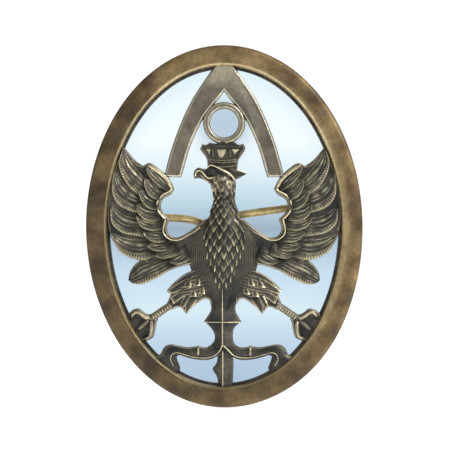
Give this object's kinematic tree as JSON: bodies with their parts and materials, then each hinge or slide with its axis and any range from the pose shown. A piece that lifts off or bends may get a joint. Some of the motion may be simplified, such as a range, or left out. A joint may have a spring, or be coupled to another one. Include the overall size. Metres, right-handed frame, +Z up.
{
  "type": "cap badge",
  "caption": "Oval openwork cap badge: a domed bronze rim round a crowned eagle under a pointed arch, with wire prongs that fold out behind it to hold it to the cloth.",
  "frame": {"origin": "centre of the oval in the plane of the rim's back, which lies on the cap's cloth", "axes": "+Z up along the oval's long axis, +X to the viewer's right, -Y out of the badge's front towards the viewer, +Y into the cap"},
  "size_m": [0.0458, 0.0062, 0.06],
  "materials": {
    "rim_bronze": "brown patina worn bright along the bevel",
    "figure_bronze": "dark brown patina with worn bright high points",
    "tin_solder": "dull grey solder",
    "prong_brass": "drawn wire, lightly tarnished"
  },
  "bodies": {
    "badge": {"rim": "rim_bronze", "backing_ring": "rim_bronze", "arch_frame": "figure_bronze", "roundel": "figure_bronze", "crown": "figure_bronze", "eagle_body": "figure_bronze", "wing_left": "figure_bronze", "wing_right": "figure_bronze", "leg_left": "figure_bronze", "leg_right": "figure_bronze", "tail": "figure_bronze", "scroll": "figure_bronze", "solder_beads": "tin_solder", "prong_roots": "prong_brass"},
    "left_prong": {"prong_left": "prong_brass"},
    "right_prong": {"prong_right": "prong_brass"}
  },
  "joints": [
    {"name": "left_prong_fold", "type": "hinge", "parent": "badge", "child": "left_prong", "pos_m": [-0.0022, 0.0016, -0.00055], "axis": [0, 0, -1], "range_deg": [0, 90]},
    {"name": "right_prong_fold", "type": "hinge", "parent": "badge", "child": "right_prong", "pos_m": [0.0009, 0.0016, 0.0014], "axis": [0, 0, 1], "range_deg": [0, 90]}
  ]
}
